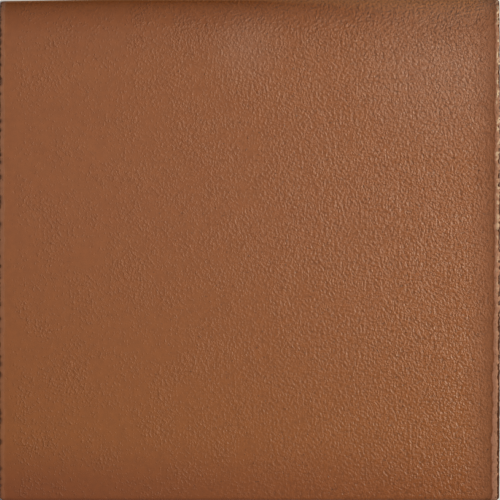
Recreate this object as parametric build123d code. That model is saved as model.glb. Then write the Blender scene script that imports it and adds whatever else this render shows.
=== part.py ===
from build123d import *
import math
import os

# Unglazed bullnose quarry tile: one piece of clay, pushed through a die as a bar, cut off with a wire
# and fired. Millimetres. It lies on its ribbed back with the wear face up. X is the way the clay came
# out of the die, from cut end to cut end, +Y points to the bullnose edge, and the origin is the middle
# of the back.

# Whole tile
length = 150.0
width = 150.0
thickness = 12.5

# Bullnose edge: a quarter round from the wear face down to a low upright land
bullnose_land = 0.5

# Plain edge: the wear face eases down towards it in a wide shallow curve, and its arris is rounded
ease_width = 15.0
ease_drop = 1.2
plain_arris_radius = 1.0

# Corners seen from above
corner_radius = 1.0

# Back: an even number of grooves along X key into the bedding mortar, with a land in the middle
groove_count = 8
groove_pitch = 17.0
groove_width = 7.0
groove_depth = 1.5
groove_flank_angle = 30.0  # degrees from upright, so that a groove is narrower at its floor


def die_section():
    """The bar's outline across X, as sketch points (y, z), without the grooves."""
    bullnose_radius = thickness - bullnose_land
    plain_edge = -width / 2
    nose_edge = width / 2
    nose_start = nose_edge - bullnose_radius
    ease_start = plain_edge + ease_width

    # One large arc leaves the wear face level at ease_start and would cross the plain edge ease_drop
    # below it. The arris arc lies inside it and touches both it and the upright plain edge.
    ease_radius = (ease_width**2 + ease_drop**2) / (2 * ease_drop)
    ease_centre = (ease_start, thickness - ease_radius)
    arris_y = plain_edge + plain_arris_radius
    centre_distance = ease_radius - plain_arris_radius
    arris_z = ease_centre[1] + math.sqrt(centre_distance**2 - (ease_start - arris_y) ** 2)
    meeting_angle = math.degrees(math.atan2(arris_z - ease_centre[1], arris_y - ease_start))

    with BuildSketch(Plane.YZ) as section:
        with BuildLine():
            Line((nose_start, thickness), (ease_start, thickness))
            CenterArc(ease_centre, ease_radius, 90, meeting_angle - 90)
            CenterArc((arris_y, arris_z), plain_arris_radius, meeting_angle, 180 - meeting_angle)
            Polyline((plain_edge, arris_z), (plain_edge, 0), (nose_edge, 0), (nose_edge, bullnose_land))
            CenterArc((nose_start, bullnose_land), bullnose_radius, 0, 90)
        make_face()
    return section.sketch


def groove_sections():
    """The ends of all the grooves, side by side along the foot of the section."""
    half_mouth = groove_width / 2
    half_floor = half_mouth - groove_depth * math.tan(math.radians(groove_flank_angle))
    with BuildSketch(Plane.YZ) as grooves:
        with GridLocations(groove_pitch, 0, groove_count, 1):
            Polygon(
                (-half_mouth, 0),
                (half_mouth, 0),
                (half_floor, groove_depth),
                (-half_floor, groove_depth),
                align=None,
            )
    return grooves.sketch


def quarry_tile():
    """The grooved bar, cut to length, with its four upright corners rounded."""
    bar = extrude(die_section() - groove_sections(), amount=length / 2, both=True)
    plan = extrude(RectangleRounded(length, width, corner_radius), amount=thickness)
    return (bar & plan).solid()


os.makedirs("parts", exist_ok=True)
export_step(quarry_tile(), "parts/quarry_tile.step")
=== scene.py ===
import functools
import math

import bpy
import numpy as np
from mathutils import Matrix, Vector


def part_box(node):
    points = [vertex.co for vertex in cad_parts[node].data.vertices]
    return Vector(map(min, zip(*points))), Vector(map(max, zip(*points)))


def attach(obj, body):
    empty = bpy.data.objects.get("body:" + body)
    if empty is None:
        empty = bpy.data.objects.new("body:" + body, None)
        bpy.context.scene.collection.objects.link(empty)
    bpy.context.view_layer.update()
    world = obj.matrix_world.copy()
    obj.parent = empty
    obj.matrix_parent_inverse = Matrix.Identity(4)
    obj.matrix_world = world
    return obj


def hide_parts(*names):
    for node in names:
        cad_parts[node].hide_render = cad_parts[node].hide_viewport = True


# One unglazed bullnose quarry tile, lying on its back with the wear face up, seen from straight
# above. It is a bar of red-burning clay that came out of a die along X, was cut off with a wire
# and fired. Sizes and places below are in millimetres, and the frame is in metres.
MM = 0.001

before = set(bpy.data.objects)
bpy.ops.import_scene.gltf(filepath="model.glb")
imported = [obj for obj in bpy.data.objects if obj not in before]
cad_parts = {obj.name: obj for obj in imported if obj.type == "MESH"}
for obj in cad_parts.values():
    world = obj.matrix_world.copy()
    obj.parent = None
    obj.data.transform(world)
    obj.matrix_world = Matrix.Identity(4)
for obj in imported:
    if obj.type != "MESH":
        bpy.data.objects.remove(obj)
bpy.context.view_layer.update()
TILE = "quarry_tile"
tile_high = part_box(TILE)[1]
HALF_LENGTH = tile_high.x / MM
HALF_WIDTH = tile_high.y / MM
THICKNESS = tile_high.z / MM

# The section that the die gives, as the tile is drawn
BULLNOSE_LAND = 0.5
EASE_WIDTH = 15.0
EASE_DROP = 1.2
PLAIN_ARRIS_RADIUS = 1.0
CORNER_RADIUS = 1.0
GROOVE_COUNT = 8
GROOVE_PITCH = 17.0
GROOVE_WIDTH = 7.0
GROOVE_DEPTH = 1.5
GROOVE_FLANK_ANGLE = 30.0

# How closely the skin is divided. Beside the ragged cut ends, over FINE_ZONE, it has twice the
# rows, and its columns start END_PITCH apart.
FACE_PITCH = 0.64
END_PITCH = 0.12
END_PITCH_GROWTH = 1.12
FINE_ZONE = 2.3
BACK_PITCH = 3.0
CORNER_STEPS = 4

# Rows down the walls, as shares of the way to their foot, which stays above the grooves
WALL_ROWS = (0.02, 0.05, 0.1, 0.2, 0.4, 0.7, 1.0)
WALL_FOOT = 2.2
WALL_FOOT_SHARE = 0.6
SHARP_ANGLE = 40.0

# Relief of the fired clay. Nothing stands above the drawn faces, so the skin lies a little inside
# them, and NOISE_TOP is about the highest value that the noise behind waves and pebbles takes.
RELIEF_SIZES = {
    "Skin Sink": 0.03,
    "Wave Length": 28.0,
    "Wave Height": 0.06,
    "Pebble Pitch": 2.4,
    "Pebble Height": 0.05,
    "End Zone": 10.0,
    "End Range": 0.5,
    "End Sink": 0.08,
    "End Bow": 0.22,
    "End Slant": 0.13,
    "Nose Taper": 0.62,
    "Chip Pitch": 1.8,
    "Chip Depth": 0.30,
    "Drag Depth": 0.12,
}
NOISE_TOP = 0.75

# Where the relief changes, as two places and the value at each: by the distance from the cut end,
# along Y over the nose, along X where the nose draws back, and along Y where the right end slants
CALM_PEBBLES = (2.0, 8.0, 0.3, 1.0)
NEAR_END = (0.0, 1.3, 1.0, 0.0)
NOSE_SHARE = (63.0, 75.0, 0.0, 1.0)
TAPER_REACH = (-75.0, -40.0, -1.0, 0.0)
SLANT_REACH = (-75.0, -35.0)

# The share of the lips that a face takes, by the upward part of the way it faces
UP_SHARE = (0.0, 0.5, 0.0, 1.0)

# Ragged inner side of the lips: the noise's pitch, and the share by which it widens them. The right
# lip also gets narrower towards the nose, and wider away from it, by a share.
RAGGED_PITCH = 5.0
RAGGED_LIP = (0.25, 0.75, -0.22, 0.22)
RIGHT_LIP_WIDENING = -0.17

# Chips by the value of their noise, and how fast they fade down the wall. The cut ends bow by a
# power of the place along Y, and the wire's drag marks have a width and a height.
CHIPPED = (0.50, 0.62, 0.0, 1.0)
ARRIS_POWER = 12.0
BOW_POWER = 2.0
DRAG_PITCH = 1.1
DRAG_LENGTH = 9.0

# Height over a strip beside each cut end, from the end inwards. The places are shares of End Zone,
# and the heights shares of End Range.
RIGHT_LIP = (
    (0.0, 0.0), (0.02, 0.62), (0.05, 0.93), (0.09, 1.0), (0.13, 0.98), (0.15, 0.84),
    (0.18, 0.74), (0.3, 0.66), (0.5, 0.60), (0.75, 0.56), (1.0, 0.55),
)
LEFT_LIP = (
    (0.0, 0.0), (0.03, 0.42), (0.06, 0.56), (0.1, 0.60), (0.15, 0.55), (0.18, 0.50),
    (0.4, 0.53), (1.0, 0.55),
)

# Colours over the same strips: place, colour, and how far it hides the skin's own. They are pale
# bare clay with painted light where the lips face the lamp, painted shade along the outer line, and
# on the right a band of painted shade beside the lip, fading further in
RIGHT_COLOURS = (
    (0.0, "#4A2B1C", 1.0), (0.036, "#54321F", 1.0), (0.056, "#A87B63", 1.0),
    (0.11, "#A3745D", 1.0), (0.176, "#986852", 1.0), (0.196, "#633A27", 0.7),
    (0.23, "#5E3623", 0.65), (0.24, "#6F4632", 0.6), (0.5, "#784B37", 0.35),
    (1.0, "#784B37", 0.0),
)
LEFT_COLOURS = (
    (0.0, "#6E4531", 1.0), (0.02, "#70472F", 1.0), (0.04, "#946650", 0.95),
    (0.08, "#96674F", 0.95), (0.14, "#90604A", 0.9), (0.165, "#99694F", 0.85),
    (0.19, "#8B5A3C", 0.3), (0.27, "#8B5A3C", 0.0),
)

# Colours of the clay: two of the fire skin, mixed in clouds and paler to the right as painted
# sheen, and those that lie over it, most of them painted light and shade
SKIN_CLAY = "#905025"
SHEEN_SKIN_CLAY = "#925429"
WARM_SHADE_CLAY = "#8F4E12"
PAINTED_EDGE_SHADE = "#7A3708"
PAINTED_NOSE_SHADE = "#5C2404"
PAINTED_SHEEN = "#9A6A52"
PAINTED_FOOT_LIGHT = "#B4784F"
CREAM_GLINT = "#DCC3A6"
CUT_CLAY = "#95644A"

# Painted sheen: pale patches where the lamp's sheen falls near the nose, by middle, reach and
# strength
SHEEN_PATCHES = (((60.0, 57.0, 12.0), 32.0, 0.5), ((-1.0, 60.0, 12.0), 13.0, 0.35))

# Height below which the nose's foot is dry and takes the painted light in full
FOOT_START = 1.5

# How the clay changes over the tile: the axis, the two places between which it changes, and the
# value at each
CLAY_FIELDS = {
    # Share of the paler skin colour, before the clouds; it rises to the right as painted sheen
    "pale": ("X", -75.0, 75.0, -0.75, 0.25),
    # Painted shade towards the plain side, where the edge rolls off: a warmer tone without sheen,
    # and a dark edge, the latter weaker on the right and the wall
    "warm_shade": ("Y", -60.0, 10.0, 0.9, 0.0),
    "low_edge": ("Y", -75.0, -52.0, 1.0, 0.0),
    "edge_shade": ("X", -75.0, 75.0, 0.72, 0.25),
    "edge_face": ("Z", 7.0, 10.3, 0.25, 1.0),
    # Painted shade over the nose, mostly on the left
    "nose_shade": ("Y", 54.0, 73.0, 0.0, 0.21),
    "nose_shade_left": ("X", -5.0, 38.0, 1.0, 0.1),
    # Foot of the nose: how dry it is, and up to which height the painted light on it reaches
    "nose_foot": ("Z", 4.0, 10.5, 1.0, 0.0),
    "nose_dry": ("X", -5.0, 38.0, 1.0, 0.8),
    "lit_foot_top": ("X", 0.0, 50.0, 4.0, 11.5),
    # Strips beside the ends: how far in the right one lies, and the strength of the left one and
    # of the cream patches, painted highlights on the right lip
    "shift": ("Y", -55.0, -15.0, -0.046, 0.0),
    "left_strip": ("Y", -75.0, 10.0, 0.4, 1.0),
    "cream_glint": ("Y", -35.0, 40.0, 0.0, 0.8),
    # Tone of the specks, partly painted shade, and the painted shade in the creases between the
    # grains
    "speck": ("X", -60.0, 10.0, 0.85, 0.5),
    "crease_shade": ("X", -55.0, 45.0, 1.0, 0.72),
    "nose_crease_shade": ("Y", 67.0, 73.0, 1.0, 0.86),
    # Grain: the noise above which it stands out, and what its height depends on
    "level": ("X", -40.0, 60.0, 0.54, 0.30),
    "coarse": ("X", -30.0, 60.0, 0.0, 1.0),
    "low_height": ("X", -60.0, 0.0, 1.4, 0.50),
    "nose_rise": ("Y", 56.0, 68.0, 0.0, 1.0),
    "nose_height": ("X", -60.0, 60.0, 0.5, 0.75),
    # Roughness of the fire skin
    "roughness": ("X", -45.0, 70.0, 0.56, 0.34),
}

# Noise in the clay: its pitch and its detail
CLAY_NOISES = {
    "cloud": (7.0, 3.0),
    "patch": (9.0, 2.0),
    "mottle": (1.6, 2.0),
    "jitter": (1.3, 3.0),
    "speck": (0.8, 1.0),
    "pit": (1.2, 2.0),
}
CLOUD_STRENGTH = 1.5

# What becomes of a noise, or of a share of the strip beside an end: two values, and the result at
# each
JITTER = (0.3, 0.7, -0.018, 0.022)
OUTER_JITTER = (0.02, 0.12, 3.6, 0.5)
CREAM_PATCH = (0.48, 0.60, 0.0, 1.0)
CREAM_START = (0.05, 0.07, 0.0, 1.0)
CREAM_END = (0.11, 0.16, 1.0, 0.0)
MOTTLE = (0.3, 0.7, 0.94, 1.06)
SPECKED = (0.67, 0.78)
CREASE_SHADED = (0.33, 0.46)
LEVEL_PATCH = (0.3, 0.7, -0.1, 0.1)
LEVEL_END = (0.15, 0.7, 0.25, 0.0)
LEVEL_LOW_EDGE = 0.04

# Pebbly grain of the fire skin, drawn out a little, with pits. Heights are in millimetres.
GRAIN_PITCH = 0.9
GRAIN_DETAIL = 2.0
GRAIN_ROUGHNESS = 0.6
GRAIN_STRETCH = (1.12, 1.0, 0.6)
GRAIN_SOFTNESS = 0.08
GRAIN_HEIGHT = 0.46
COARSE_RISE = 0.26
COARSE_POWER = 2.4
PIT_LEVEL = 0.66
PIT_SOFTNESS = 0.03
PIT_DEPTH = 1.2
HEIGHT_SPAN = (-70.0, 50.0)
TOP_HEIGHT = 1.08
LOW_EDGE_HEIGHT = 0.08

# Torn clay of the cut ends, drawn out upright
TORN_PITCH = 0.9
TORN_DETAIL = 3.0
TORN_STRETCH = (1.0, 1.0, 0.15)
TORN_HEIGHT = 0.6

# Shine: the specular level, from the fire skin to dry clay, and the roughness of dry clay
SHINE = (0.0, 1.0, 0.5, 0.05)
DRY_ROUGHNESS = 0.85
CLAY_IOR = 1.58

# Soft lamp on the right and a little towards the nose, from the way the grain is lit
LAMP_PLACE = (520.0, 120.0, 590.0)
LAMP_SIZE = 200.0
LAMP_POWER = 5.2
LAMP_COLOUR = (1.0, 0.94, 0.76)
ROOM_LIGHT = 0.32

# Floor: how far it reaches, its colour as seen, and a darker one for the light that it returns
FLOOR_REACH = 4000.0
FLOOR_SEEN = "#DEDFE3"
FLOOR_LIT = "#8A8886"

# Photograph: 500 pixels square, with the tile's middle and width in its pixels
PHOTO_SIDE = 500
TILE_MIDDLE = (249.65, 249.7)
TILE_PIXELS = 502.3
CAMERA_HEIGHT = 5000.0
SENSOR = 36.0


def linear(hex_colour):
    """An sRGB hex colour as a linear colour with alpha."""
    parts = [int(hex_colour[i : i + 2], 16) / 255 for i in (1, 3, 5)]
    return [p / 12.92 if p <= 0.04045 else ((p + 0.055) / 1.055) ** 2.4 for p in parts] + [1.0]


def add(tree, kind, inputs=None, **settings):
    """Adds a node with its settings; an input takes a value, a socket, or a node's first output."""
    node = tree.nodes.new(kind)
    for name, value in settings.items():
        setattr(node, name, value)
    for key, value in (inputs or {}).items():
        if isinstance(value, bpy.types.Node):
            value = next(s for s in value.outputs if s.enabled)
        if isinstance(value, bpy.types.NodeSocket):
            tree.links.new(value, node.inputs[key])
        else:
            node.inputs[key].default_value = value
    return node


def across(value, start, end, first, last, unit=1.0):
    """The inputs of a Map Range node: first at start, last at end."""
    return {0: value, 1: start * unit, 2: end * unit, 3: first, 4: last}


def even_steps(span, pitch):
    """An even number of steps over a span, none longer than pitch."""
    return 2 * math.ceil(span / (2 * pitch))


def arc(centre, radius, first, last, pitch):
    """Points (y, z) on an arc, from the first to the last angle in degrees, and how they face."""
    steps = even_steps(radius * math.radians(abs(last - first)), pitch)
    angles = np.radians(np.linspace(first, last, steps + 1))
    facing = np.column_stack([np.cos(angles), np.sin(angles)])
    return np.column_stack([np.array(centre) + radius * facing, facing])


def skin_outline():
    """The section's upper outline, from the foot of the plain arris over the face and the nose.

    Each row is y, z and the outward direction. The steps are half of FACE_PITCH and even in number,
    so that every second row can stop where the fine zones end.
    """
    pitch = FACE_PITCH / 2
    nose_radius = THICKNESS - BULLNOSE_LAND
    ease_radius = (EASE_WIDTH**2 + EASE_DROP**2) / (2 * EASE_DROP)
    ease_centre = (EASE_WIDTH - HALF_WIDTH, THICKNESS - ease_radius)
    arris_y = PLAIN_ARRIS_RADIUS - HALF_WIDTH
    reach = ease_radius - PLAIN_ARRIS_RADIUS
    arris_z = ease_centre[1] + math.sqrt(reach**2 - (ease_centre[0] - arris_y) ** 2)
    meeting = math.degrees(math.atan2(arris_z - ease_centre[1], arris_y - ease_centre[0]))
    face_start, face_end = ease_centre[0], HALF_WIDTH - nose_radius
    face_y = np.linspace(face_start, face_end, even_steps(face_end - face_start, pitch) + 1)
    face = np.column_stack([face_y] + [np.full(len(face_y), v) for v in (THICKNESS, 0.0, 1.0)])
    return np.vstack([
        arc((arris_y, arris_z), PLAIN_ARRIS_RADIUS, 180, meeting, pitch)[:-1],
        arc(ease_centre, ease_radius, meeting, 90, pitch)[:-1],
        face[:-1],
        arc((face_end, BULLNOSE_LAND), nose_radius, 90, 0, pitch),
    ])


def back_outline():
    """The section's lower outline (y, z), from the plain edge to the nose, with its grooves."""
    half_mouth = GROOVE_WIDTH / 2
    half_bottom = half_mouth - GROOVE_DEPTH * math.tan(math.radians(GROOVE_FLANK_ANGLE))
    corners = [(-HALF_WIDTH, 0.0), (CORNER_RADIUS - HALF_WIDTH, 0.0)]
    for n in range(GROOVE_COUNT):
        middle = (n - (GROOVE_COUNT - 1) / 2) * GROOVE_PITCH
        corners += [(middle - half_mouth, 0.0), (middle - half_bottom, GROOVE_DEPTH)]
        corners += [(middle + half_bottom, GROOVE_DEPTH), (middle + half_mouth, 0.0)]
    corners += [(HALF_WIDTH - CORNER_RADIUS, 0.0), (HALF_WIDTH, 0.0)]
    points = [corners[0]]
    for (y0, z0), (y1, z1) in zip(corners, corners[1:]):
        span = math.hypot(y1 - y0, z1 - z0)
        pitch = CORNER_RADIUS / CORNER_STEPS if span <= CORNER_RADIUS else BACK_PITCH
        shares = np.linspace(0, 1, math.ceil(span / pitch) + 1)[1:]
        points += [(y0 + s * (y1 - y0), z0 + s * (z1 - z0)) for s in shares]
    return np.array(points)


def gaps_from_end():
    """Distances from a cut end to the middle of the tile, END_PITCH apart at first, then wider."""
    places, step = [0.0], END_PITCH
    while places[-1] < HALF_LENGTH:
        places.append(places[-1] + step)
        step = min(step * END_PITCH_GROWTH, FACE_PITCH)
    return np.array(places) * HALF_LENGTH / places[-1]


def rounded_reach(y):
    """How far the tile reaches along X at y, inside its corners, as a share of its half length."""
    past = np.maximum(np.abs(y) - (HALF_WIDTH - CORNER_RADIUS), 0.0)
    inset = CORNER_RADIUS - np.sqrt(np.maximum(CORNER_RADIUS**2 - past**2, 0.0))
    return 1 - inset / HALF_LENGTH


def rim(grid):
    """The border of a grid of numbers, as its four sides, each ending where the next starts."""
    return grid[0, :], grid[:, -1], grid[-1, ::-1], grid[::-1, 0]


def zipped(upper, lower, places):
    """Triangles between two rows of points that run the same way, spaced differently."""
    faces, u, w = [], 0, 0
    along = [np.linalg.norm(places[row] - places[row[0]], axis=1) for row in (upper, lower)]
    along = [a / a[-1] for a in along]
    while u < len(upper) - 1 or w < len(lower) - 1:
        lower_done = w == len(lower) - 1
        if lower_done or (u < len(upper) - 1 and along[0][u + 1] <= along[1][w + 1]):
            faces.append((upper[u], lower[w], upper[u + 1]))
            u += 1
        else:
            faces.append((upper[u], lower[w], lower[w + 1]))
            w += 1
    return faces


def skin_faces(grid):
    """Faces of the skin's grid. Every second row is missing (-1) in it away from the cut ends."""
    full = grid[1, :] >= 0
    faces = []
    for c in range(grid.shape[1] - 1):
        if full[c] and full[c + 1]:
            a, b = grid[:, c], grid[:, c + 1]
            faces += np.column_stack([a[:-1], b[:-1], b[1:], a[1:]]).tolist()
            continue
        a, b = grid[::2, c], grid[::2, c + 1]
        corners = [a[:-1], b[:-1], b[1:], a[1:]]
        if full[c + 1]:
            corners.insert(2, grid[1::2, c + 1])
        if full[c]:
            corners.append(grid[1::2, c])
        faces += np.column_stack(corners).tolist()
    return faces


def plain_tile():
    """The smooth closed tile: skin, four walls and grooved back, with what each point belongs to.

    A point's marks are end_gap, its distance from the cut end, follow, how far it moves with the
    skin, cut, whether it lies on cut clay, and outward, the way the skin faces there.
    """
    gap = gaps_from_end()
    x = np.concatenate([gap - HALF_LENGTH, HALF_LENGTH - gap[-2::-1]])
    gap = np.concatenate([gap, gap[-2::-1]])
    section = skin_outline()
    fine_row = np.arange(len(section)) % 2 == 1
    there = ~fine_row[:, None] | (gap <= FINE_ZONE)[None, :]
    skin = np.where(there, np.cumsum(there).reshape(there.shape) - 1, -1)
    row, column = np.nonzero(there)
    skin_x = x[column] * rounded_reach(section[row, 0])
    places = [np.column_stack([skin_x, section[row, :2]])]
    outward = [np.column_stack([np.zeros(len(row)), section[row, 2:]])]
    end_gap = [gap[column]]
    follow = [np.ones(len(row))]
    cut = [np.zeros(len(row))]

    # Walls: every point of the skin's border goes down in rows to just above the grooves
    sides = rim(skin)
    border = np.concatenate([side[:-1] for side in sides])
    on_end = np.concatenate([np.full(len(side) - 1, float(k % 2)) for k, side in enumerate(sides)])
    top = places[0][border]
    foot = np.minimum(WALL_FOOT, WALL_FOOT_SHARE * top[:, 2])
    rows = [border]
    for share in WALL_ROWS:
        rows.append(sum(len(p) for p in places) + np.arange(len(border)))
        places.append(np.column_stack([top[:, :2], top[:, 2] + share * (foot - top[:, 2])]))
        outward.append(outward[0][border])
        end_gap.append(end_gap[0][border])
        follow.append(np.full(len(border), 1 - share))
        cut.append(on_end)

    # Back
    under = back_outline()
    columns = math.ceil(2 * HALF_LENGTH / BACK_PITCH) + 1
    under_x = np.linspace(-HALF_LENGTH, HALF_LENGTH, columns)
    back_x = under_x[None, :] * rounded_reach(under[:, 0])[:, None]
    back = sum(len(p) for p in places) + np.arange(back_x.size).reshape(back_x.shape)
    y, z = (np.repeat(under[:, k : k + 1], len(under_x), axis=1) for k in (0, 1))
    places.append(np.column_stack([back_x.ravel(), y.ravel(), z.ravel()]))
    outward.append(np.zeros((back.size, 3)))
    end_gap.append(np.tile(HALF_LENGTH - np.abs(under_x), len(under)))
    follow.append(np.zeros(back.size))
    cut.append(np.ones(back.size))
    places = np.vstack(places)

    faces = skin_faces(skin)
    square = (back[:-1, :-1], back[1:, :-1], back[1:, 1:], back[:-1, 1:])
    faces += np.stack([corner.ravel() for corner in square], axis=1).tolist()
    for upper, lower in zip(rows, rows[1:]):
        square = (upper, lower, np.roll(lower, -1), np.roll(upper, -1))
        faces += np.stack(square, axis=1).tolist()
    start = 0
    foot_row = np.append(rows[-1], rows[-1][0])
    for skin_side, back_side in zip(sides, rim(back)):
        end = start + len(skin_side)
        faces += zipped(foot_row[start:end], back_side, places)
        start = end - 1

    mesh = bpy.data.meshes.new(TILE)
    mesh.from_pydata((places * MM).tolist(), [], faces)
    marks = {"end_gap": np.concatenate(end_gap) * MM, "follow": np.concatenate(follow),
             "cut": np.concatenate(cut)}
    for name, values in marks.items():
        mark = mesh.attributes.new(name, "FLOAT", "POINT")
        mark.data.foreach_set("value", values.astype(np.float32))
    facing = np.vstack(outward).astype(np.float32).ravel()
    mesh.attributes.new("outward", "FLOAT_VECTOR", "POINT").data.foreach_set("vector", facing)
    mesh.validate()
    return mesh


def bend_curve(node, points):
    """Gives a float curve its points, from left to right."""
    curve = node.mapping.curves[0]
    for place in points[1:-1]:
        curve.points.new(*place)
    curve.points[0].location = points[0]
    curve.points[-1].location = points[-1]
    node.mapping.update()
    return node


def relief_tree():
    """Lays the relief of pushed, wire-cut and fired clay over the smooth tile."""
    tree = bpy.data.node_groups.new("fired_clay_relief", "GeometryNodeTree")
    for in_out in ("INPUT", "OUTPUT"):
        tree.interface.new_socket("Geometry", in_out=in_out, socket_type="NodeSocketGeometry")
    for name in (*RELIEF_SIZES, "Half Width"):
        tree.interface.new_socket(name, in_out="INPUT", socket_type="NodeSocketFloat")
    tree.interface.new_socket("Clay", in_out="INPUT", socket_type="NodeSocketMaterial")
    put = functools.partial(add, tree)
    given = put("NodeGroupInput").outputs
    place = put("GeometryNodeInputPosition")
    axes = put("ShaderNodeSeparateXYZ", {0: place}).outputs
    end_gap, follow, outward = (
        put("GeometryNodeInputNamedAttribute", {"Name": name}, data_type=kind)
        for name, kind in (("end_gap", "FLOAT"), ("follow", "FLOAT"), ("outward", "FLOAT_VECTOR"))
    )
    right = put("ShaderNodeMath", {0: axes["X"], 1: 0.0}, operation="GREATER_THAN")
    side = put("ShaderNodeMath", {0: axes["X"]}, operation="SIGN")
    facing_up = put("ShaderNodeSeparateXYZ", {0: outward}).outputs["Z"]
    up_share = put("ShaderNodeMapRange", across(facing_up, *UP_SHARE))

    # Slow waves over the whole tile, and the coarser part of the pebbly grain on the skin
    layers = []
    for pitch, height in (("Wave Length", "Wave Height"), ("Pebble Pitch", "Pebble Height")):
        scale = put("ShaderNodeMath", {0: 1.0, 1: given[pitch]}, operation="DIVIDE")
        layer = put("ShaderNodeTexNoise", {"Vector": place, "Scale": scale, "Detail": 1.0})
        layer = put("ShaderNodeMath", {0: layer, 1: NOISE_TOP}, operation="SUBTRACT")
        layers.append(put("ShaderNodeMath", {0: layer, 1: given[height]}, operation="MULTIPLY"))
    wave, pebble = layers
    calm = put("ShaderNodeMapRange", across(end_gap, *CALM_PEBBLES, unit=MM))
    pebble = put("ShaderNodeMath", {0: pebble, 1: calm}, operation="MULTIPLY")

    # Lip along each cut end, as wide as the wire left it. The right one widens from the nose to the
    # plain edge, and both are a little ragged on their inner side.
    along_cut = put("ShaderNodeCombineXYZ", {"X": side, "Y": axes["Y"]})
    ragged = put("ShaderNodeTexNoise", {
        "Vector": along_cut, "Scale": 1 / (RAGGED_PITCH * MM), "Detail": 4.0,
    })
    ragged = put("ShaderNodeMapRange", across(ragged, *RAGGED_LIP), clamp=False)
    width_share = put("ShaderNodeMath", {0: axes["Y"], 1: given["Half Width"]}, operation="DIVIDE")
    widening = put("ShaderNodeMath", {0: width_share, 1: right}, operation="MULTIPLY")
    lip_width = put("ShaderNodeMath", {0: widening, 1: RIGHT_LIP_WIDENING, 2: 1.0},
                    operation="MULTIPLY_ADD")
    lip_width = put("ShaderNodeMath", {0: lip_width, 1: ragged}, operation="ADD")
    lip_width = put("ShaderNodeMath", {0: lip_width, 1: given["End Zone"]}, operation="MULTIPLY")
    inward = put("ShaderNodeMath", {0: end_gap, 1: lip_width}, operation="DIVIDE", use_clamp=True)
    left_lip, right_lip = (
        bend_curve(put("ShaderNodeFloatCurve", {"Value": inward}), points)
        for points in (LEFT_LIP, RIGHT_LIP)
    )
    lip = put("ShaderNodeMix", {0: right, 2: left_lip, 3: right_lip}, data_type="FLOAT")
    lip = put("ShaderNodeMath", {0: lip, 1: 1.0}, operation="SUBTRACT")
    lip = put("ShaderNodeMath", {0: lip, 1: given["End Range"]}, operation="MULTIPLY")

    # Chips out of the arrises, a millimetre or so long, each deepest at the very end
    chip_scale = put("ShaderNodeMath", {0: 1.0, 1: given["Chip Pitch"]}, operation="DIVIDE")
    chip = put("ShaderNodeTexNoise", {"Vector": along_cut, "Scale": chip_scale, "Detail": 2.0})
    chip = put("ShaderNodeMapRange", across(chip, *CHIPPED))
    near_end = put("ShaderNodeMapRange", across(end_gap, *NEAR_END, unit=MM))
    for part in (given["Chip Depth"], near_end):
        chip = put("ShaderNodeMath", {0: chip, 1: part}, operation="MULTIPLY")
    lowered = put("ShaderNodeMath", {0: lip, 1: chip}, operation="SUBTRACT")
    lowered = put("ShaderNodeMath", {0: lowered, 1: up_share}, operation="MULTIPLY")

    raised = put("ShaderNodeMath", {0: wave, 1: pebble}, operation="ADD")
    raised = put("ShaderNodeMath", {0: raised, 1: lowered}, operation="ADD")
    raised = put("ShaderNodeMath", {0: raised, 1: given["Skin Sink"]}, operation="SUBTRACT")
    raised = put("ShaderNodeMath", {0: raised, 1: follow}, operation="MULTIPLY")
    skin_move = put("ShaderNodeVectorMath", {0: outward, "Scale": raised}, operation="SCALE")

    # The nose draws back a little towards its left end
    taper = put("ShaderNodeMapRange", across(axes["X"], *TAPER_REACH, unit=MM))
    nose_share = put("ShaderNodeMapRange", across(axes["Y"], *NOSE_SHARE, unit=MM))
    for part in (given["Nose Taper"], nose_share):
        taper = put("ShaderNodeMath", {0: taper, 1: part}, operation="MULTIPLY")

    # Cut ends: slightly bowed by the slack of the wire, the right one a little aslant, with the
    # wire's upright drag marks, and the chips
    drag_grid = put("ShaderNodeVectorMath", {
        0: place, 1: (0.0, 1 / (DRAG_PITCH * MM), 1 / (DRAG_LENGTH * MM)),
    }, operation="MULTIPLY")
    drag = put("ShaderNodeTexNoise", {"Vector": drag_grid, "Scale": 1.0, "Detail": 3.0})
    bow = put("ShaderNodeMath", {0: width_share, 1: BOW_POWER}, operation="POWER")
    bow = put("ShaderNodeMath", {0: bow, 1: given["End Bow"], 2: given["End Sink"]},
              operation="MULTIPLY_ADD")
    slant = put("ShaderNodeMapRange",
                across(axes["Y"], *SLANT_REACH, given["End Slant"], 0.0, unit=MM))
    bow = put("ShaderNodeMath", {0: slant, 1: right, 2: bow}, operation="MULTIPLY_ADD")
    drag = put("ShaderNodeMath", {0: drag, 1: given["Drag Depth"], 2: bow},
               operation="MULTIPLY_ADD")
    drag = put("ShaderNodeMath", {0: drag, 1: near_end}, operation="MULTIPLY")
    arris_share = put("ShaderNodeMath", {0: follow, 1: ARRIS_POWER}, operation="POWER")
    bitten = put("ShaderNodeMath", {0: chip, 1: arris_share}, operation="MULTIPLY")
    bitten = put("ShaderNodeMath", {0: bitten, 1: drag}, operation="ADD")
    for part in (side, -1.0):
        bitten = put("ShaderNodeMath", {0: bitten, 1: part}, operation="MULTIPLY")
    end_move = put("ShaderNodeCombineXYZ", {"X": bitten, "Y": taper})

    moved = put("ShaderNodeVectorMath", {0: skin_move, 1: end_move}, operation="ADD")
    shaped = put("GeometryNodeSetPosition", {"Geometry": given["Geometry"], "Offset": moved})
    marked = put("GeometryNodeStoreNamedAttribute",
                 {"Geometry": shaped, "Name": "inward", "Value": inward},
                 data_type="FLOAT", domain="POINT")
    real = put("GeometryNodeRealizeInstances", {"Geometry": marked})
    clothed = put("GeometryNodeSetMaterial", {"Geometry": real, "Material": given["Clay"]})
    put("NodeGroupOutput", {"Geometry": clothed})
    return tree


def fill_ramp(node, stops):
    """Gives a colour ramp its stops: place, colour and alpha."""
    ramp = node.color_ramp
    while len(ramp.elements) < len(stops):
        ramp.elements.new(1.0)
    for element, (place, colour, alpha) in zip(ramp.elements, stops):
        element.position = place
        element.color = linear(colour)[:3] + [alpha]
    return node


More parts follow.
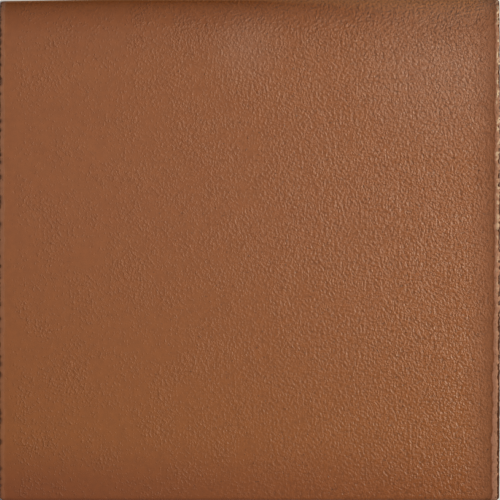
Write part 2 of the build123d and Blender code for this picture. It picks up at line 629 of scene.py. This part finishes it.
def fired_clay():
    """Red-burning clay, pushed through a die, wire-cut and fired without a glaze.

    The eye sees a dense satin fire skin with a pebbly grain, dry and paler where it was cut.
    """
    material = bpy.data.materials.new("unglazed_fired_clay")
    material.use_nodes = True
    tree = material.node_tree
    tree.nodes.clear()
    put = functools.partial(add, tree)
    place = put("ShaderNodeTexCoord").outputs["Object"]
    axes = put("ShaderNodeSeparateXYZ", {0: place}).outputs
    inward = put("ShaderNodeAttribute", attribute_name="inward").outputs["Fac"]
    cut = put("ShaderNodeAttribute", attribute_name="cut").outputs["Fac"]
    right = put("ShaderNodeMath", {0: axes["X"], 1: 0.0}, operation="GREATER_THAN")
    nose_side = put("ShaderNodeMath", {0: axes["Y"], 1: 0.0}, operation="GREATER_THAN")
    field = {
        name: put("ShaderNodeMapRange", across(axes[axis], *change, unit=MM))
        for name, (axis, *change) in CLAY_FIELDS.items()
    }
    field["low_edge"].interpolation_type = "SMOOTHSTEP"
    noise = {
        name: put("ShaderNodeTexNoise",
                  {"Vector": place, "Scale": 1 / (pitch * MM), "Detail": detail})
        for name, (pitch, detail) in CLAY_NOISES.items()
    }

    # Fire skin in faint clouds, paler to the right as painted sheen, under painted shade (warmer,
    # redder and darker towards the plain edge and the nose), painted sheen near the nose and
    # painted light on its foot
    # Painted sheen: the paler skin colour gains towards the lamp on the right, in faint clouds
    pale = put("ShaderNodeMath", {0: noise["cloud"], 1: CLOUD_STRENGTH, 2: field["pale"]},
               operation="MULTIPLY_ADD", use_clamp=True)
    skin = put("ShaderNodeMix", {0: pale, 6: linear(SKIN_CLAY), 7: linear(SHEEN_SKIN_CLAY)},
               data_type="RGBA")
    # Painted shade towards the plain side: the warm tint and this dark edge, where the edge rolls
    # off
    edge_shade = field["edge_shade"]
    for part in (field["low_edge"], field["edge_face"]):
        edge_shade = put("ShaderNodeMath", {0: edge_shade, 1: part}, operation="MULTIPLY")
    # Painted shade over the nose as it curves away, strongest on the left
    nose_shade = put("ShaderNodeMath", {0: field["nose_shade"], 1: field["nose_shade_left"]},
                    operation="MULTIPLY")
    tints = [(field["warm_shade"], WARM_SHADE_CLAY), (edge_shade, PAINTED_EDGE_SHADE), (nose_shade, PAINTED_NOSE_SHADE)]
    # Painted sheen patches near the nose
    for middle, reach, strength in SHEEN_PATCHES:
        away = put("ShaderNodeVectorMath", {0: place, 1: Vector(middle) * MM},
                   operation="DISTANCE").outputs["Value"]
        sheen_patch = put("ShaderNodeMapRange", across(away, 0.0, reach, strength, 0.0, unit=MM))
        tints.append((sheen_patch, PAINTED_SHEEN))
    # Painted light on the nose's foot, reaching higher on the right
    lit_foot_top = put("ShaderNodeMath", {0: field["lit_foot_top"], 1: MM}, operation="MULTIPLY")
    foot = put("ShaderNodeMapRange",
               {0: axes["Z"], 1: FOOT_START * MM, 2: lit_foot_top, 3: nose_side, 4: 0.0})
    tints.append((foot, PAINTED_FOOT_LIGHT))
    for cover, tint in tints:
        skin = put("ShaderNodeMix", {0: cover, 6: skin.outputs[2], 7: linear(tint)},
                   data_type="RGBA")

    # Strips beside the cut ends, with a fine jagged outer line: pale bare clay with painted light,
    # and painted shade along the outer line and beside the right lip. On the right the strip lies
    # further in towards the plain edge.
    jitter = put("ShaderNodeMapRange", across(noise["jitter"], *JITTER), clamp=False)
    outer = put("ShaderNodeMapRange", across(inward, *OUTER_JITTER))
    jitter = put("ShaderNodeMath", {0: jitter, 1: outer}, operation="MULTIPLY")
    shift = put("ShaderNodeMath", {0: field["shift"], 1: right, 2: jitter},
                operation="MULTIPLY_ADD")
    strip = put("ShaderNodeMath", {0: inward, 1: shift}, operation="ADD", use_clamp=True)
    # Painted light on the lips' bare clay, painted shade on their outer line and beside the right
    # lip
    left_strip, right_strip = (
        fill_ramp(put("ShaderNodeValToRGB", {0: strip}), colours)
        for colours in (LEFT_COLOURS, RIGHT_COLOURS)
    )
    strip_colour = put("ShaderNodeMix", {0: right, 6: left_strip, 7: right_strip},
                       data_type="RGBA")
    left_cover = put("ShaderNodeMath", {0: left_strip.outputs["Alpha"], 1: field["left_strip"]},
                     operation="MULTIPLY")
    strip_cover = put("ShaderNodeMix",
                      {0: right, 2: left_cover, 3: right_strip.outputs["Alpha"]},
                      data_type="FLOAT")
    # Cream patches on the right lip's crest: painted highlights
    cream_glint = put("ShaderNodeMapRange", across(noise["mottle"], *CREAM_PATCH))
    cream_start = put("ShaderNodeMapRange", across(strip, *CREAM_START))
    cream_end = put("ShaderNodeMapRange", across(strip, *CREAM_END))
    for part in (field["cream_glint"], cream_start, cream_end, right):
        cream_glint = put("ShaderNodeMath", {0: cream_glint, 1: part}, operation="MULTIPLY")
    strip_colour = put("ShaderNodeMix", {0: cream_glint, 6: strip_colour.outputs[2], 7: linear(CREAM_GLINT)},
                       data_type="RGBA")
    colour = put("ShaderNodeMix",
                 {0: strip_cover, 6: skin.outputs[2], 7: strip_colour.outputs[2]},
                 data_type="RGBA")
    colour = put("ShaderNodeMix", {0: cut, 6: colour.outputs[2], 7: linear(CUT_CLAY)},
                 data_type="RGBA")

    # Pebbly grain: separate low bumps on the left, closing up to a dense pebbled skin on the right.
    # It thins out beside both cut ends.
    drawn = put("ShaderNodeVectorMath", {0: place, 1: GRAIN_STRETCH}, operation="MULTIPLY")
    grain = put("ShaderNodeTexNoise", {
        "Vector": drawn, "Scale": 1 / (GRAIN_PITCH * MM), "Detail": GRAIN_DETAIL,
        "Roughness": GRAIN_ROUGHNESS,
    })
    patch = put("ShaderNodeMapRange", across(noise["patch"], *LEVEL_PATCH), clamp=False)
    ends = put("ShaderNodeMapRange", across(inward, *LEVEL_END))
    ends = put("ShaderNodeMath", {0: field["low_edge"], 1: LEVEL_LOW_EDGE, 2: ends},
               operation="MULTIPLY_ADD")
    level = field["level"]
    for part in (patch, ends):
        level = put("ShaderNodeMath", {0: level, 1: part}, operation="ADD")
    pebbles = put("ShaderNodeMath", {0: grain, 1: level}, operation="SUBTRACT")
    pebbles = put("ShaderNodeMath", {0: pebbles, 1: 0.0, 2: GRAIN_SOFTNESS},
                  operation="SMOOTH_MAX")
    pit = put("ShaderNodeMath", {0: noise["pit"], 1: PIT_LEVEL}, operation="SUBTRACT")
    pit = put("ShaderNodeMath", {0: pit, 1: 0.0, 2: PIT_SOFTNESS}, operation="SMOOTH_MAX")
    height = put("ShaderNodeMath", {0: pit, 1: -PIT_DEPTH, 2: pebbles}, operation="MULTIPLY_ADD")
    coarse = put("ShaderNodeMath", {0: field["coarse"], 1: COARSE_POWER}, operation="POWER")
    coarse = put("ShaderNodeMath", {0: coarse, 1: COARSE_RISE, 2: GRAIN_HEIGHT},
                 operation="MULTIPLY_ADD")
    steep = put("ShaderNodeMapRange",
                across(axes["Y"], *HEIGHT_SPAN, field["low_height"], TOP_HEIGHT, unit=MM))
    steep = put("ShaderNodeMath", {0: field["low_edge"], 1: LOW_EDGE_HEIGHT, 2: steep},
                operation="MULTIPLY_ADD")
    on_nose = put("ShaderNodeMath", {0: field["nose_rise"], 1: field["nose_height"]},
                  operation="MULTIPLY")
    steep = put("ShaderNodeMath", {0: steep, 1: on_nose}, operation="ADD")
    for part in (coarse, steep):
        height = put("ShaderNodeMath", {0: height, 1: part}, operation="MULTIPLY")

    # Torn clay of the cut ends
    torn = put("ShaderNodeVectorMath", {0: place, 1: TORN_STRETCH}, operation="MULTIPLY")
    torn = put("ShaderNodeTexNoise",
               {"Vector": torn, "Scale": 1 / (TORN_PITCH * MM), "Detail": TORN_DETAIL})
    torn = put("ShaderNodeMath", {0: torn, 1: TORN_HEIGHT}, operation="MULTIPLY")
    height = put("ShaderNodeMix", {0: cut, 2: height, 3: torn}, data_type="FLOAT")
    bump = put("ShaderNodeBump", {"Height": height, "Distance": MM, "Strength": 1.0})

    # Mottled tone of the clay, dark specks in it, partly painted shade of the grains' dark sides,
    # and painted shade in the creases between the grains
    tone = put("ShaderNodeMapRange", across(noise["mottle"], *MOTTLE))
    speck = put("ShaderNodeMapRange", across(noise["speck"], *SPECKED, 1.0, field["speck"]))
    # Painted shade in the creases between the grains, stronger on the right and the nose
    crease_shade = put("ShaderNodeMath", {0: field["crease_shade"], 1: field["nose_crease_shade"]},
                 operation="MULTIPLY")
    crease_shade = put("ShaderNodeMapRange", across(grain, *CREASE_SHADED, crease_shade, 1.0))
    for part in (speck, crease_shade):
        tone = put("ShaderNodeMath", {0: tone, 1: part}, operation="MULTIPLY")
    colour = put("ShaderNodeVectorMath", {0: colour.outputs[2], "Scale": tone},
                 operation="SCALE")

    # Dry clay, in the strips, on the cuts and at the nose's foot, is dull
    dry_foot = field["nose_dry"]
    for part in (field["nose_foot"], nose_side):
        dry_foot = put("ShaderNodeMath", {0: dry_foot, 1: part}, operation="MULTIPLY")
    dry = strip_cover
    for part in (cut, dry_foot):
        dry = put("ShaderNodeMath", {0: dry, 1: part}, operation="MAXIMUM")
    shine = put("ShaderNodeMapRange", across(dry, *SHINE))
    roughness = put("ShaderNodeMix", {0: dry, 2: field["roughness"], 3: DRY_ROUGHNESS},
                    data_type="FLOAT")
    shader = put("ShaderNodeBsdfPrincipled", {
        "Base Color": colour, "Roughness": roughness, "IOR": CLAY_IOR, "Normal": bump,
        "Specular IOR Level": shine,
    })
    put("ShaderNodeOutputMaterial", {"Surface": shader})
    return material


def quarry_tile(clay):
    """The tile's visible body, shaped by its relief and made a plain mesh."""
    smooth = bpy.data.objects.new("smooth_tile", plain_tile())
    bpy.context.scene.collection.objects.link(smooth)
    modifier = smooth.modifiers.new("relief", "NODES")
    modifier.node_group = relief_tree()
    values = {name: size * MM for name, size in RELIEF_SIZES.items()}
    values |= {"Half Width": HALF_WIDTH * MM, "Clay": clay}
    for item in modifier.node_group.interface.items_tree:
        if item.name in values:
            modifier[item.identifier] = values[item.name]
    shaped = smooth.evaluated_get(bpy.context.evaluated_depsgraph_get())
    mesh = bpy.data.meshes.new_from_object(shaped)
    bpy.data.objects.remove(smooth)
    mesh.shade_smooth()
    mesh.set_sharp_from_angle(angle=math.radians(SHARP_ANGLE))
    tile = bpy.data.objects.new("fired_quarry_tile", mesh)
    bpy.context.scene.collection.objects.link(tile)
    return tile


def floor():
    """A plain pale paper floor, past what the camera sees, that gives the tile little light."""
    mesh = bpy.data.meshes.new("floor")
    far = FLOOR_REACH * MM
    corners = [(-far, -far, 0), (far, -far, 0), (far, far, 0), (-far, far, 0)]
    mesh.from_pydata(corners, [], [(0, 1, 2, 3)])
    paint = bpy.data.materials.new("white_paper")
    paint.use_nodes = True
    paint.node_tree.nodes.clear()
    put = functools.partial(add, paint.node_tree)
    ray = put("ShaderNodeLightPath").outputs
    seen = ray["Is Camera Ray"]
    for kind in ("Is Glossy Ray", "Is Transmission Ray"):
        seen = put("ShaderNodeMath", {0: seen, 1: ray[kind]}, operation="MAXIMUM")
    colour = put("ShaderNodeMix", {0: seen, 6: linear(FLOOR_LIT), 7: linear(FLOOR_SEEN)},
                 data_type="RGBA")
    shader = put("ShaderNodeBsdfDiffuse", {"Color": colour.outputs[2]})
    put("ShaderNodeOutputMaterial", {"Surface": shader})
    mesh.materials.append(paint)
    plane = bpy.data.objects.new("floor", mesh)
    bpy.context.scene.collection.objects.link(plane)
    return plane


def studio_light():
    """An even pale room, and one soft lamp."""
    room = bpy.data.worlds.new("room")
    room.use_nodes = True
    room.node_tree.nodes.clear()
    put = functools.partial(add, room.node_tree)
    pale = put("ShaderNodeBackground", {"Color": (1, 1, 1, 1), "Strength": ROOM_LIGHT})
    put("ShaderNodeOutputWorld", {"Surface": pale})
    bpy.context.scene.world = room
    lamp = bpy.data.lights.new("soft_box", "AREA")
    lamp.shape = "SQUARE"
    lamp.size = LAMP_SIZE * MM
    lamp.energy = LAMP_POWER
    lamp.color = LAMP_COLOUR
    lamp_object = bpy.data.objects.new("soft_box", lamp)
    lamp_object.location = Vector(LAMP_PLACE) * MM
    lamp_object.rotation_euler = Vector(LAMP_PLACE).to_track_quat("Z", "Y").to_euler()
    lamp_object.visible_camera = False
    bpy.context.scene.collection.objects.link(lamp_object)


def camera():
    """Straight above the wear face, framed so that the tile fills the picture as in the photo."""
    lens = bpy.data.cameras.new("camera")
    scale = 2 * HALF_LENGTH / TILE_PIXELS
    lens.sensor_width = SENSOR
    lens.lens = SENSOR * CAMERA_HEIGHT / (PHOTO_SIDE * scale)
    camera_object = bpy.data.objects.new("camera", lens)
    right = (PHOTO_SIDE / 2 - TILE_MIDDLE[0]) * scale
    up = (TILE_MIDDLE[1] - PHOTO_SIDE / 2) * scale
    camera_object.location = Vector((right, up, THICKNESS + CAMERA_HEIGHT)) * MM
    bpy.context.scene.collection.objects.link(camera_object)
    bpy.context.scene.camera = camera_object


bpy.context.scene.view_settings.view_transform = "Standard"
tile = quarry_tile(fired_clay())
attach(tile, "root")
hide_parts(TILE)
floor()
studio_light()
camera()
